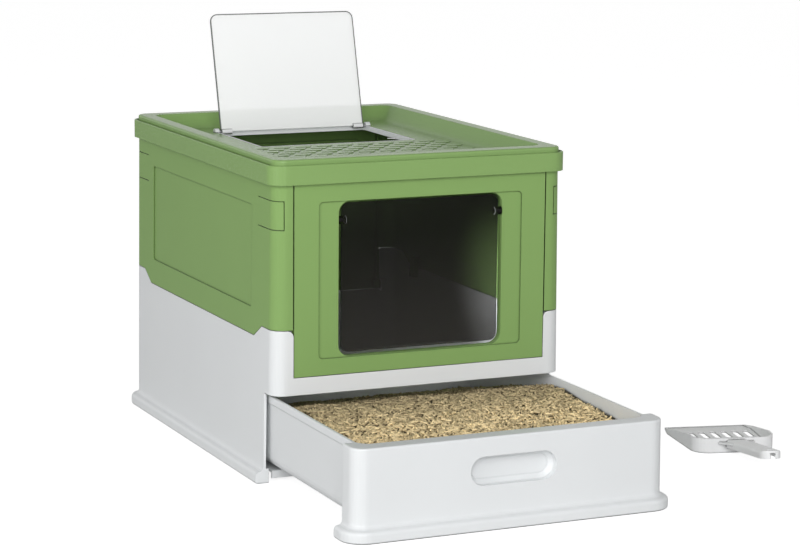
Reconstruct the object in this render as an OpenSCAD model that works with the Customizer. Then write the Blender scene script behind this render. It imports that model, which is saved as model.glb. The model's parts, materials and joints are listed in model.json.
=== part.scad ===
// Drawer litter box with four panel walls on a base, a lift-off lid with a hatch,
// a swinging door flap, a pull-out litter drawer and a slotted scoop.
// X is across the front, Y runs from front to back and Z is up. The origin is on the floor,
// at the centre of the house's footprint. The drawer is shown pulled out.

/* [House] */
// Width across the outer faces of the side panels
house_w = 342; // [300:1:400]
// Depth from the front panel's face to the rear panel's face
house_d = 460; // [420:1:540]
// Height of the top edge of the four panels
panel_top = 335; // [320:1:380]
// Outer radius of the upright corners
corner_r = 16; // [12:1:20]
// Wall of the moulded panels and the base
wall = 3; // [2.5:0.5:4]
// Open seam between two parts that meet in one face
seam = 0.7; // [0.3:0.1:0.9]
// Widening of the walls on each side, per unit of height below the panels' top edge
draft = 0.01; // [0:0.001:0.015]

/* [Base] */
// Height of the base's corner posts
post_h = 172; // [165:1:180]
// Height of the base's side walls between the posts
side_h = 158; // [150:1:162]
// Height of the header over the drawer, where the front and rear panels stand
header_h = 120; // [114:1:126]
// Height of the drawer bay's mouth
bay_h = 101; // [99:0.5:104]
// Distance from the front face back to the ends of the side walls
bay_setback = 27; // [24:1:30]
// Length of a corner post along the front, from the side face
post_w = 21; // [18:1:26]
// Distance from the end faces to where the high part of the side wall ends
step_near = 36; // [30:1:40]
// Distance from the end faces to where the low part of the side wall starts
step_far = 59; // [50:1:70]
// Radius of a post's inner top corner
post_round = 7; // [4:1:10]

/* [Plinth] */
// How far the plinth stands out from the wall above it
plinth_out = 9; // [6:0.5:11]
// Height of the plinth
plinth_h = 13; // [11:0.5:16]
// Radius of the plinth's upper outer edge
plinth_r = 4; // [2:0.5:5]
// Radius of the plinth's lower edge
foot_r = 2.5; // [1:0.5:3]
// Wall of the plinth
foot_wall = 4; // [3.5:0.5:5]

/* [Base floor] */
// Top of the base's floor
floor_top = 12.5; // [11:0.5:14]
// Thickness of the floor
floor_t = 2.5; // [2:0.5:3.5]
// Height of the turned-down lip at the floor's front edge
lip_h = 8.5; // [5:0.5:10]
// Distance from the front face back to the floor's front edge
floor_setback = 30; // [28:1:36]
// Distance from the middle to each drawer rail
rail_x = 118; // [90:1:140]
// Width of a drawer rail
rail_w = 8; // [5:1:12]

/* [Drawer] */
// How far the drawer is pulled out
drawer_out = 226.7; // [0:0.1:226.7]
// Height of the drawer's rim
drawer_h = 96.5; // [90:0.5:98]
// How far the drawer front stands proud of each side of the house
drawer_proud = 4; // [2:0.5:6]
// Depth of the drawer front from its face to its rear edge
cap_d = 30; // [26:1:34]
// Width of the flat rim along the drawer front
cap_rim = 19; // [18:1:22]
// Clearance from the drawer rails to the tub
rail_gap = 0.3; // [0.2:0.1:0.8]
// Height of the drawer rails over the floor
rail_h = 3.2; // [2:0.1:4]
// Wall of the tub
tub_wall = 2; // [1.5:0.5:3]
// Clearance between the tub's side walls and the base's walls
tub_gap = 2.5; // [2:0.5:5]
// Radius of the tub's lower edges
tub_r = 14; // [8:1:15]
// Length of the tub from the drawer's face to its back wall
tub_l = 455; // [400:1:455]
// Width of the rolled flange round the tub's rim
flange_w = 1.5; // [1.5:0.25:2]
// Height of the flange
flange_h = 7.5; // [5:0.5:10]
// Width of the finger pull
pull_w = 98; // [80:1:120]
// Height of the finger pull
pull_h = 30.6; // [24:0.2:34]
// Depth of the finger pull
pull_d = 12; // [9:0.5:13]
// Height of the finger pull's middle over the floor
pull_z = 61; // [55:1:68]

/* [Litter] */
// Height of the litter at the front of the drawer
litter_front = 76; // [50:1:84]
// Height of the litter's crest
litter_crest = 92; // [60:1:94]
// Distance from the drawer's face back to the crest
litter_reach = 222; // [150:1:300]
// Height of the litter at the back of the drawer
litter_back = 40; // [30:1:84]

/* [Front door] */
// Width of the doorway
door_w = 195; // [160:1:210]
// Height of the doorway's sill over the floor
door_z = 139.5; // [134:0.5:150]
// Height of the doorway
door_h = 169.5; // [150:0.5:172]
// Radius of the doorway's corners
door_r = 13; // [8:1:20]
// Width of the sunk field round the doorway
field_w = 242; // [230:1:260]
// Depth of the sunk fields
field_d = 1.5; // [1:0.1:2]
// Depth of the doorway's collar
collar_d = 9; // [7:0.5:12]
// Gap between the flap and the doorway on each side
flap_gap = 4; // [3:0.25:6]
// Thickness of both flaps
flap_t = 2; // [1.5:0.25:3]
// Radius of the flaps' free corners
flap_r = 9; // [6:1:12]
// Distance from the doorway's top down to the flap's pivot
pivot_drop = 20.7; // [16:0.1:26]

/* [Side panels] */
// Distance from the end faces to the sunk field on the side
side_field_y = 67; // [60:1:80]
// Lower edge of the side's sunk field
side_field_z0 = 188; // [180:1:200]
// Upper edge of the side's sunk field
side_field_z1 = 301; // [280:1:310]
// Lower edge of the snap tongues
tongue_z0 = 281; // [270:1:290]
// Upper edge of the snap tongues
tongue_z1 = 312; // [300:1:320]
// Distance from the end face to the tongue's root
tongue_l = 49; // [40:1:56]
// Distance from the side face to the tongue's free end
tongue_tip = 10; // [8:1:12]
// Width of the slots round a tongue
slot = 0.8; // [0.5:0.1:1.2]

/* [Lid] */
// How far the lid's skirt stands out from the panels
lid_over = 5; // [4.5:0.25:7]
// How far the lid's skirt reaches down over the panels
skirt_drop = 5.5; // [5:0.5:12]
// Height of the lid's skirt
skirt_h = 21; // [20:0.5:28]
// Depth of the channel between the skirt and the rim
channel_h = 1.8; // [0:0.2:3]
// Width of the lip between the skirt's face and the channel
lip_w = 1.8; // [1.5:0.1:3]
// Height of the rim over the skirt's upper edge
rim_up = 5.7; // [4:0.1:7]
// Radius of the rim's outer edge
rim_r = 2.2; // [1.5:0.1:3.5]
// Clearance between the lid's seat and the panels
lid_gap = 0.3; // [0.2:0.1:0.5]
// Height of the sunk platform over the panels' top edge
deck_up = 5; // [4:0.5:10]
// Thickness of the platform
deck_t = 2.5; // [2:0.25:3]
// Distance from the side face to the inner edge of the rim
rim_in = 16; // [14:1:20]
// Distance from the end face to the inner edge of the rim
rim_in_end = 19; // [16:1:24]
// Length of the slope between the rim and the platform
slope_l = 23; // [16:1:26]
// Width of a tread pad on the platform
pad_w = 18; // [10:1:22]
// Depth of a tread pad from front to back
pad_d = 11; // [6:0.5:13]
// How far a tread pad's rear edge is shifted sideways from its front edge
pad_skew = 6; // [0:1:8]
// Height of the tread pads
pad_h = 0.8; // [0.4:0.1:1.5]
// Distance between the middles of two tread pads in a row
pad_step = 26; // [24:1:30]
// Distance between two rows of tread pads
row_step = 16; // [14:1:20]

/* [Hatch] */
// Clear width of the hatch
hatch_w = 190.6; // [160:0.2:200]
// Clear depth of the hatch
hatch_d = 147.5; // [120:0.5:150]
// Distance from the front face to the hatch's front edge
hatch_y = 232; // [220:1:240]
// Inner radius of the hatch's corners
hatch_r = 3; // [2:0.5:4]
// Wall of the hatch frame
frame_t = 2.5; // [2:0.25:3]
// How far the frame's flange reaches out under the platform
frame_grip = 4; // [3:0.5:6]
// Clearance round the hatch frame in the platform
frame_fit = 0.3; // [0.2:0.1:0.5]
// Depth of the hatch frame
frame_h = 5.5; // [5:0.5:9]
// Gap between the hatch flap and its frame
hatch_gap = 2.6; // [2:0.2:4]
// Distance from the middle to each tab that the closed hatch flap rests on
stop_x = 60; // [30:1:75]
// Width of a tab
stop_w = 16; // [10:1:24]
// Length of a tab
stop_l = 6; // [5:0.5:10]
// Distance from the hatch's rear edge to the flap's hinge
hinge_in = 4; // [3.5:0.5:6]
// Angle past upright at which the open flap leans
flap_lean = 15.2; // [0:0.1:20]

/* [Pivots] */
// Radius of the flaps' pivot pins
pin_r = 1.7; // [1.5:0.1:2]
// Radial clearance of a pin in its hole
pin_fit = 0.05; // [0.03:0.01:0.1]
// Radius of the pins on which the panels fold
fold_r = 3; // [2.5:0.25:3.5]
// Radial clearance of the fold pins
fold_fit = 0.2; // [0.1:0.05:0.3]

/* [Scoop] */
// Width of the scoop's blade
scoop_w = 106; // [90:1:120]
// Length of the scoop's blade
blade_l = 122; // [100:1:140]
// Length of the scoop from edge to hanging end
scoop_l = 252; // [220:1:280]
// Height of the scoop's back wall
scoop_h = 17; // [12:1:24]
// Wall of the scoop
scoop_t = 2.2; // [1.8:0.1:3]
// Radius of the blade's rear corners
blade_r = 20; // [12:1:28]
// Width of a slot in the blade
slot_w = 8; // [6:0.5:9]
// Distance between the middles of two slots side by side
slot_step = 13.5; // [12:0.5:15]
// Width of the handle
handle_w = 24; // [20:1:30]
// Height of the handle's section
handle_h = 9; // [7:0.5:11]
// Rise of the handle over its length, in degrees
handle_rise = 8; // [4:1:14]

/* [Hidden] */

green = "#8fb06c";
white = "#e6e8ea";
smoke = "#3c3c3c";
clear = "#f2f4f6";

arc_steps = 8;
eps = 0.01;
past = 1;
face_y = -house_d / 2;
side_x = house_w / 2;
post_x = side_x - post_w;
cove_r = plinth_out - plinth_r;
bay_y = face_y + bay_setback;
floor_y = face_y + floor_setback;
tub_z = floor_top + rail_h + rail_gap;

cap_y = face_y - drawer_out - drawer_proud + seam;
cap_w = house_w + 2 * drawer_proud;
tub_w = house_w - 2 * (wall + tub_gap);
tub_y0 = cap_y + cap_rim - tub_wall;
tub_y1 = cap_y + tub_l;
tub_corner = tub_r + 2;
skin = wall - 0.2;
litter_y = cap_y + litter_reach;

door_y = face_y + field_d;
door_top = door_z + door_h;
field_z0 = door_z - 1;
field_z1 = door_top + 0.5;
pivot_y = face_y + 5;
pivot_z = door_top - pivot_drop;
front_flap_w = door_w - 2 * flap_gap;
front_flap_z0 = door_z + flap_gap;
front_flap_z1 = door_top - 2;
knuckle_r = 4.5;
knuckle_l = 8;
knuckle_gap = 0.8;
boss_l = 2;

lid_w = house_w + 2 * lid_over;
lid_d = house_d + 2 * lid_over;
lid_r = corner_r + lid_over - 2;
skirt_z0 = panel_top - skirt_drop;
skirt_z1 = skirt_z0 + skirt_h;
skirt_edge = 0.6;
channel_z = skirt_z1 - channel_h;
deck_z = panel_top + deck_up;
rim_z = skirt_z1 + rim_up;
well_w = house_w - 2 * rim_in;
well_d = house_d - 2 * rim_in_end;
well_r = 12;
well_foot_r = 3;
pad_x = side_x - rim_in - slope_l - 2;
pad_y0 = face_y + rim_in_end + slope_l + 6;
pad_y1 = face_y + hatch_y - frame_t - 6;

hatch_mid = face_y + hatch_y + hatch_d / 2;
hinge_y = face_y + hatch_y + hatch_d - hinge_in;
hinge_z = deck_z + 0.5;
ear_r = 4;
ear_l = 3;
top_flap_w = hatch_w - 2 * hatch_gap;
top_reach = 1.5;
top_flap_l = hatch_d - hinge_in - top_reach;
top_knuckle_r = 3.2;
top_knuckle_l = 14;
knuckle_end = 1.5;
pin_end = 0.5;
rest_gap = 0.3;

fold_inset = 4;
front_fold_z = header_h + 7;
side_fold_z = side_h - 6;
side_fold_y = house_d / 2 - step_far - 20;
ear_t = 6;
ear_rim = 3;
fold_rim = 2;
fold_arm = 10;
fold_root = 14;
rib_d = 7;

scoop_x = 405;
scoop_y = -160;
scoop_turn = -103.5;
blade_edge = 4;
blade_flare = 24;
slot_rows = [[27, 32, 7], [62, 23, 6], [88, 18, 6]];
handle_r = 4;
hang_r = 4;
web_l = 26;
web_w = 44;

// How far a side wall stands out at a height because of the draft
function lean(z) = draft * (panel_top - z);

// Points along an arc round c, from angle a0 to a1
function arc_pts(c, r, a0, a1, n) = [
    for (i = [0:n]) let (a = a0 + (a1 - a0) * i / n) [c[0] + r * cos(a), c[1] + r * sin(a)]
];

// Outline of a rounded rectangle about the origin
function rect_pts(w, d, r) = concat(
    arc_pts([w / 2 - r, d / 2 - r], r, 0, 90, arc_steps),
    arc_pts([r - w / 2, d / 2 - r], r, 90, 180, arc_steps),
    arc_pts([r - w / 2, r - d / 2], r, 180, 270, arc_steps),
    arc_pts([w / 2 - r, r - d / 2], r, 270, 360, arc_steps)
);

// Solid through a stack of rounded rectangles, each given as [width, depth, radius, height]
module loft(rings) {
    count = 4 * (arc_steps + 1);
    last = len(rings) - 1;
    points = [for (g = rings) for (p = rect_pts(g[0], g[1], g[2])) [p[0], p[1], g[3]]];
    under = [for (i = [0:count - 1]) i];
    over = [for (i = [count - 1:-1:0]) last * count + i];
    sides = [
        for (k = [0:last - 1]) for (i = [0:count - 1])
            let (a = k * count + i, b = k * count + (i + 1) % count)
                each [[a, a + count, b + count], [a, b + count, b]]
    ];
    polyhedron(points = points, faces = concat([under], sides, [over]));
}

// Upright prism on a rounded rectangle
module block(w, d, r, z0, z1) {
    translate([0, 0, z0]) linear_extrude(z1 - z0) polygon(rect_pts(w, d, r));
}

// Box given by its low and high corners
module box(low, high) {
    translate(low) cube(high - low);
}

// Prism on an outline in X and Z, from depth y0 back to y1
module facing(y0, y1) {
    translate([0, y1, 0]) rotate([90, 0, 0]) linear_extrude(y1 - y0) children();
}

// Rounded rectangle standing in X and Z between two heights
module window(w, z0, z1, r) {
    translate([0, (z0 + z1) / 2]) polygon(rect_pts(w, z1 - z0, r));
}

// Prism on an outline in Y and Z, over the whole width between x0 and x1
module across(x0, x1) {
    translate([x0, 0, 0]) rotate([90, 0, 90]) linear_extrude(x1 - x0) children();
}

// The plinth's outer profile as [distance out from the wall, height], up to a plain top
function plinth_profile(top) = concat(
    arc_pts([plinth_out - foot_r, foot_r], foot_r, -90, 0, 3),
    arc_pts([cove_r, plinth_h - plinth_r], plinth_r, 0, 90, 4),
    arc_pts([cove_r, plinth_h + cove_r], cove_r, 247.5, 180, 3),
    top
);

// Rings of a wall that follows a profile of [distance out, height] and leans out at the sides
function wall_rings(w, d, r, profile) = [
    for (p = profile) [w + 2 * (p[0] + lean(p[1])), d + 2 * p[0], r + p[0], p[1]]
];

// Side wall's top edge in Y and Z, raised by "up", as the outline of all that lies above it
module above_side_wall(up) {
    half = house_d / 2;
    polygon([
        [step_far - half, side_h + up], [half - step_far, side_h + up],
        [half - step_near, post_h + up], [half + 2 * plinth_out, post_h + up],
        [half + 2 * plinth_out, panel_top + past], [-half - 2 * plinth_out, panel_top + past],
        [-half - 2 * plinth_out, post_h + up], [step_near - half, post_h + up]
    ]);
}

// Opening between two posts in X and Z, narrowed by "in" on each side, with flared top corners
module between_posts(in) {
    x = post_x - in;
    z = post_h - post_round - in;
    polygon(concat(
        [[-x, header_h + in], [x, header_h + in]],
        arc_pts([x + post_round, z], post_round, 180, 90, 6),
        [[x + post_round, panel_top + past], [-x - post_round, panel_top + past]],
        arc_pts([-x - post_round, z], post_round, 90, 0, 6)
    ));
}

// The fold pin's socket at one end of a front or rear panel
module front_ear() {
    y = face_y + wall + fold_inset;
    difference() {
        box([post_x + seam, face_y + wall / 2, header_h - fold_rim],
            [post_x + seam + ear_t, y + fold_r + ear_rim, front_fold_z + fold_r + ear_rim]);
        translate([post_x, y, front_fold_z]) rotate([0, 90, 0])
            cylinder(r = fold_r + fold_fit, h = 2 * ear_t, $fn = 32);
    }
}

// The fold pin's socket at one end of a side panel
module side_ear() {
    x = side_x - wall - fold_inset;
    edge = fold_r + ear_rim;
    difference() {
        box([x - edge, side_fold_y + seam, side_fold_z - edge],
            [side_x - wall / 2 + lean(side_h), side_fold_y + seam + ear_t, side_h - seam]);
        translate([x, side_fold_y, side_fold_z]) rotate([-90, 0, 0])
            cylinder(r = fold_r + fold_fit, h = 2 * ear_t, $fn = 32);
    }
}

// Copies of what stands at one corner, at all four
module four_corners() {
    for (mx = [0, 1], my = [0, 1]) mirror([mx, 0, 0]) mirror([0, my, 0]) children();
}

// Copies of what stands at one side, at both
module both_sides() {
    for (mx = [0, 1]) mirror([mx, 0, 0]) children();
}

module base_shell() {
    inner = [
        [plinth_out - foot_wall, -past], [plinth_out - foot_wall, plinth_h - foot_wall - 1],
        [-wall, plinth_h + wall], [-wall, panel_top]
    ];
    difference() {
        loft(wall_rings(house_w, house_d, corner_r, plinth_profile([[0, post_h]])));
        loft(wall_rings(house_w, house_d, corner_r, inner));
        across(-house_w, house_w) above_side_wall(0);
        facing(-house_d, house_d) between_posts(0);
    }
}

// The floor plate with its turned-down lip, its ribs and the rails that the drawer slides on
module base_floor() {
    notch = 5;
    rib_y = floor_y + 20;
    rail_y0 = floor_y + 4;
    rail_y1 = house_d / 2 - 12;
    lip_x = side_x - wall - notch;
    edge = 2 * wall;
    difference() {
        block(house_w + edge + 2 * lean(0), house_d + edge, corner_r + wall, floor_top - floor_t, floor_top);
        box([-house_w, -house_d, 0], [house_w, floor_y, floor_top + past]);
        both_sides() box([lip_x, floor_y - past, 0], [house_w, floor_y + 2 * notch, floor_top + past]);
    }
    box([-lip_x, floor_y, floor_top - lip_h], [lip_x, floor_y + floor_t, floor_top - eps]);
    for (x = [-rail_x, 0, rail_x])
        box([x - wall / 2, rib_y, 0], [x + wall / 2, house_d / 2 - wall, floor_top - floor_t + eps]);
    for (y = [-house_d / 6, house_d / 6])
        box([-rail_x, y - wall / 2, 0], [rail_x, y + wall / 2, floor_top - floor_t + eps]);
    both_sides() box(
        [rail_x - rail_w / 2, rail_y0, floor_top - eps],
        [rail_x + rail_w / 2, rail_y1, floor_top + rail_h]
    );
}

// Plate that closes the plinth's hollow at the front end of a side wall
module plinth_end() {
    intersection() {
        loft(wall_rings(house_w, house_d, corner_r, plinth_profile([[0, post_h]])));
        box([side_x - wall, bay_y, 0], [house_w, bay_y + foot_wall, plinth_h + wall]);
    }
}

module base_frame() {
    color(white) {
        difference() {
            base_shell();
            box([-house_w, -house_d, -past], [house_w, bay_y, bay_h]);
        }
        intersection() {
            block(house_w - wall + 2 * lean(bay_h), house_d - wall, corner_r - wall / 2, bay_h, bay_h + floor_t);
            box([-house_w, -house_d, 0], [house_w, bay_y, post_h]);
        }
        intersection() {
            base_floor();
            box([-house_w, bay_y, 0], [house_w, house_d, post_h]);
        }
        both_sides() plinth_end();
        four_corners() {
            front_ear();
            side_ear();
        }
    }
}

// Copies of what stands on a side panel, tilted about its top edge by the draft
module drafted() {
    translate([side_x, 0, panel_top]) rotate([0, -atan(draft), 0]) translate([-side_x, 0, -panel_top]) children();
}

// The side panel's wall before its edges are cut: it wraps round both corners, with a sunk field
module side_wall() {
    field_y = house_d / 2 - side_field_y;
    inner_x = side_x - wall;
    high = panel_top + past;
    difference() {
        union() {
            difference() {
                block(house_w, house_d, corner_r, side_h - past, high);
                block(house_w - 2 * wall, house_d - 2 * wall, corner_r - wall, 0, 2 * panel_top);
            }
            box([inner_x - field_d, -field_y - wall, side_field_z0 - wall],
                [inner_x + eps, field_y + wall, side_field_z1 + wall]);
        }
        across(side_x - field_d, house_w) translate([0, (side_field_z0 + side_field_z1) / 2])
            polygon(rect_pts(2 * field_y, side_field_z1 - side_field_z0, 4));
    }
}

// Slots that free the snap tongue at the front end of a side panel
module tongue_slots() {
    half = house_d / 2;
    for (z = [tongue_z0, tongue_z1])
        box([side_x - tongue_tip, -house_d, z - slot / 2], [house_w, tongue_l - half, z + slot / 2]);
    box([side_x - tongue_tip - slot, -house_d, tongue_z0 - slot / 2],
        [side_x - tongue_tip, wall + slot - half, tongue_z1 + slot / 2]);
}

// Arm with the pin on which a side panel folds, at the panel's rear end
module fold_pin() {
    inner_x = side_x - wall;
    x = inner_x - fold_inset;
    edge = fold_r + fold_rim / 2;
    y = side_fold_y - fold_arm;
    box([x - edge, y, side_fold_z - edge], [inner_x - seam, side_fold_y, side_h]);
    box([x - edge, y, side_h - eps], [inner_x + wall / 2 + lean(side_h), side_fold_y, side_h + fold_root]);
    translate([x, side_fold_y - eps, side_fold_z]) rotate([-90, 0, 0]) cylinder(r = fold_r, h = ear_t, $fn = 32);
}

module side_panel() {
    half = house_d / 2;
    difference() {
        intersection() {
            drafted() side_wall();
            box([post_x + seam, -house_d, 0], [house_w, house_d, panel_top]);
            across(0, house_w) above_side_wall(seam);
        }
        facing(-house_d, step_near - half) corner_post();
        facing(half - step_near, house_d) corner_post();
        for (my = [0, 1]) mirror([0, my, 0]) tongue_slots();
    }
    for (my = [0, 1]) mirror([0, my, 0]) fold_pin();
}

// A corner post's outline in X and Z, grown by the seam
module corner_post() {
    x = post_x - seam;
    z = post_h + seam;
    r = post_round;
    polygon(concat(
        [[x, 0], [house_w, 0], [house_w, z]],
        arc_pts([x + r, z - r], r, 90, 180, 6)
    ));
}

module left_panel() {
    color(green) mirror([1, 0, 0]) side_panel();
}

module right_panel() {
    color(green) side_panel();
}

// Plain end panel between the side panels' wraps, with its fold pins
module end_panel() {
    edge_x = post_x - seam;
    y = face_y + wall + fold_inset;
    boss = fold_r + fold_rim;
    box([-edge_x, face_y, header_h + seam], [edge_x, face_y + wall, panel_top]);
    both_sides() {
        box([edge_x - wall, face_y + wall - eps, front_fold_z], [edge_x, face_y + rib_d, panel_top]);
        box([edge_x - 2 * fold_inset, face_y + wall - eps, front_fold_z - boss],
            [edge_x, y + fold_r + fold_rim / 2, front_fold_z + boss]);
        translate([edge_x - eps, y, front_fold_z]) rotate([0, 90, 0])
            cylinder(r = fold_r, h = ear_t, $fn = 32);
    }
    box([-edge_x, face_y + wall - eps, panel_top - wall], [edge_x, face_y + rib_d, panel_top]);
}

module front_panel() {
    color(green) difference() {
        union() {
            end_panel();
            facing(face_y + wall - eps, face_y + wall + field_d)
                window(field_w + 2 * wall, field_z0 - wall, field_z1 + wall, 8);
            facing(door_y, face_y + collar_d + field_d)
                window(door_w + 2 * wall, door_z - wall, door_top + wall, door_r + wall);
            both_sides() translate([door_w / 2, pivot_y, pivot_z]) rotate([0, 90, 0])
                cylinder(r = pin_r + wall, h = wall + boss_l, $fn = 32);
        }
        facing(face_y - past, door_y) window(field_w, field_z0, field_z1, 5);
        facing(face_y - past, face_y + 3 * collar_d) window(door_w, door_z, door_top, door_r);
        both_sides() translate([door_w / 2 - past, pivot_y, pivot_z]) rotate([0, 90, 0])
            cylinder(r = pin_r + pin_fit, h = 2 * wall + boss_l, $fn = 32);
    }
}

module rear_panel() {
    color(green) mirror([0, 1, 0]) difference() {
        union() {
            end_panel();
            facing(face_y + wall - eps, face_y + wall + field_d)
                window(field_w + 2 * wall, field_z0 - wall, field_z1 + wall, 8);
        }
        facing(face_y - past, door_y) window(field_w, field_z0, field_z1, 5);
    }
}

// Smoked door flap: a sheet with a bored knuckle at each upper corner
module front_flap() {
    x = front_flap_w / 2;
    tip = door_w / 2 - knuckle_gap;
    color(smoke, 0.7) difference() {
        union() {
            facing(pivot_y - flap_t / 2, pivot_y + flap_t / 2)
                window(front_flap_w, front_flap_z0, front_flap_z1, flap_r);
            both_sides() translate([tip - knuckle_l, pivot_y, pivot_z]) rotate([0, 90, 0])
                cylinder(r = knuckle_r, h = knuckle_l, $fn = 32);
        }
        both_sides() translate([tip - knuckle_l + knuckle_end, pivot_y, pivot_z]) rotate([0, 90, 0])
            cylinder(r = pin_r + pin_fit, h = 2 * knuckle_l, $fn = 32);
    }
}

module front_flap_pins() {
    tip = door_w / 2 - knuckle_gap;
    start = tip - knuckle_l + knuckle_end + pin_end;
    color("silver") both_sides() translate([start, pivot_y, pivot_z]) rotate([0, 90, 0])
        cylinder(r = pin_r, h = door_w / 2 + wall + boss_l - start, $fn = 32);
}

// The lid's sunk platform as a stack of rings, grown by "out" and lowered by "down"
function well_rings(out, down, top) = concat(
    [for (i = [0:6]) let (t = i / 6, u = out - slope_l * (1 - t), rise = (rim_z - deck_z) * (1 - cos(90 * t)))
        [well_w + 2 * u, well_d + 2 * u, well_foot_r + (well_r - well_foot_r) * t + out, deck_z - down + rise]],
    [[well_w + 2 * out, well_d + 2 * out, well_r + out, top]]
);

// Staggered rows of raised pads on the platform, for the grip of a foot
module tread_pads() {
    rows = floor((pad_y1 - pad_y0 - pad_d) / row_step);
    reach = (pad_w + pad_skew) / 2;
    for (i = [0:rows]) let (shift = (i % 2) * pad_step / 2, count = floor((pad_x - reach - shift) / pad_step)) {
        first = i % 2 == 0 ? -count : -count - 1;
        for (j = [first:count])
            translate([j * pad_step + shift, pad_y0 + i * row_step, deck_z - eps]) linear_extrude(pad_h + eps)
                polygon([[-reach, 0], [pad_w - reach, 0], [reach, pad_d], [reach - pad_w, pad_d]]);
    }
}

module lid() {
    hole = frame_t + frame_fit;
    outer = concat(
        [[0, skirt_z0], [0, skirt_z1 - skirt_edge], [-skirt_edge, skirt_z1], [-lip_w, skirt_z1 + eps]],
        [[-lip_w - channel_h / 4, channel_z], [-lid_over, channel_z + eps]],
        arc_pts([-lid_over - rim_r, rim_z - rim_r], rim_r, 0, 90, 5)
    );
    under = [
        [-wall, skirt_z0 - past], [-wall, channel_z - wall],
        [-lid_over - wall, channel_z - wall + 1], [-lid_over - wall, rim_z - deck_t]
    ];
    color(green) tread_pads();
    color(green) difference() {
        union() {
            difference() {
                loft([for (p = outer) [lid_w + 2 * p[0], lid_d + 2 * p[0], lid_r + p[0], p[1]]]);
                loft([for (p = under) [lid_w + 2 * p[0], lid_d + 2 * p[0], lid_r + p[0], p[1]]]);
            }
            difference() {
                block(house_w, house_d, corner_r, panel_top + lid_gap, channel_z - 1);
                block(house_w - 2 * wall, house_d - 2 * wall, corner_r - wall, 0, 2 * panel_top);
            }
            loft(well_rings(deck_t, deck_t, rim_z - 1));
        }
        loft(well_rings(0, 0, rim_z + past));
        translate([0, hatch_mid, 0])
            block(hatch_w + 2 * hole, hatch_d + 2 * hole, hatch_r + hole, 0, 2 * panel_top);
    }
}

// White frame that lines the hatch, with hinge ears, a flange under the platform and stops
module hatch_frame() {
    low = deck_z - frame_h;
    flange = frame_t + frame_grip;
    color(white) difference() {
        union() {
            translate([0, hatch_mid, 0]) difference() {
                union() {
                    block(hatch_w + 2 * frame_t, hatch_d + 2 * frame_t, hatch_r + frame_t, low, deck_z);
                    block(hatch_w + 2 * flange, hatch_d + 2 * flange, hatch_r + flange, low, deck_z - deck_t - 0.2);
                }
                block(hatch_w, hatch_d, hatch_r, 0, 2 * panel_top);
            }
            both_sides() intersection() {
                translate([hatch_w / 2, hinge_y, hinge_z]) rotate([0, 90, 0])
                    cylinder(r = ear_r, h = frame_t + ear_l, $fn = 32);
                box([0, hinge_y - ear_r, deck_z + 0.2], [house_w, hinge_y + ear_r, rim_z]);
            }
            both_sides() box(
                [hatch_w / 2, hinge_y - ear_r, low],
                [hatch_w / 2 + frame_t, hinge_y + pin_r + 0.8, deck_z + past]
            );
            for (x = [-stop_x, stop_x])
                box([x - stop_w / 2, face_y + hatch_y - eps, low],
                    [x + stop_w / 2, face_y + hatch_y + stop_l, hinge_z - flap_t / 2 - rest_gap]);
        }
        both_sides() translate([hatch_w / 2 - past, hinge_y, hinge_z]) rotate([0, 90, 0])
            cylinder(r = pin_r + pin_fit, h = frame_t + past, $fn = 32);
    }
}

// Clear hatch flap, shown open and leaning back
module top_flap() {
    x = top_flap_w / 2;
    color(clear, 0.5) translate([0, hinge_y, hinge_z]) rotate([-flap_lean, 0, 0]) difference() {
        union() {
            facing(-flap_t / 2, flap_t / 2) polygon(concat(
                [[-x, 0], [x, 0]],
                arc_pts([x - flap_r, top_flap_l - flap_r], flap_r, 0, 90, arc_steps),
                arc_pts([flap_r - x, top_flap_l - flap_r], flap_r, 90, 180, arc_steps)
            ));
            both_sides() translate([x - top_knuckle_l, 0, 0]) rotate([0, 90, 0])
                cylinder(r = top_knuckle_r, h = top_knuckle_l, $fn = 32);
        }
        both_sides() translate([x - top_knuckle_l + knuckle_end, 0, 0]) rotate([0, 90, 0])
            cylinder(r = pin_r + pin_fit, h = 2 * top_knuckle_l, $fn = 32);
    }
}

module top_flap_pins() {
    start = top_flap_w / 2 - top_knuckle_l + knuckle_end + pin_end;
    color("silver") both_sides() translate([start, hinge_y, hinge_z]) rotate([0, 90, 0])
        cylinder(r = pin_r, h = hatch_w / 2 + frame_t - pin_end - start, $fn = 32);
}

// Rings of the tub, shrunk by "in" on every side
function tub_rings(in, top) = concat(
    [for (p = arc_pts([-tub_r, tub_z + tub_r], tub_r - in, -90, 0, 5))
        let (u = p[0]) [tub_w + 2 * u, tub_y1 - tub_y0 + 2 * u, tub_corner + u, p[1]]],
    [[tub_w - 2 * in, tub_y1 - tub_y0 - 2 * in, tub_corner - in, top]]
);

module tub_place() {
    translate([0, (tub_y0 + tub_y1) / 2, 0]) children();
}

// Finger pull: a pocket with round ends that narrows towards its floor
module pull_pocket(grow, depth) {
    half = pull_w / 2 - pull_h / 2;
    r0 = pull_h / 2 + grow;
    slant = 5;
    hull() for (s = [-1, 1]) translate([s * half, cap_y, pull_z]) rotate([-90, 0, 0]) {
        cylinder(r = r0, h = depth - slant, $fn = 32);
        cylinder(r = r0 - slant, h = depth, $fn = 32);
    }
}

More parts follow.
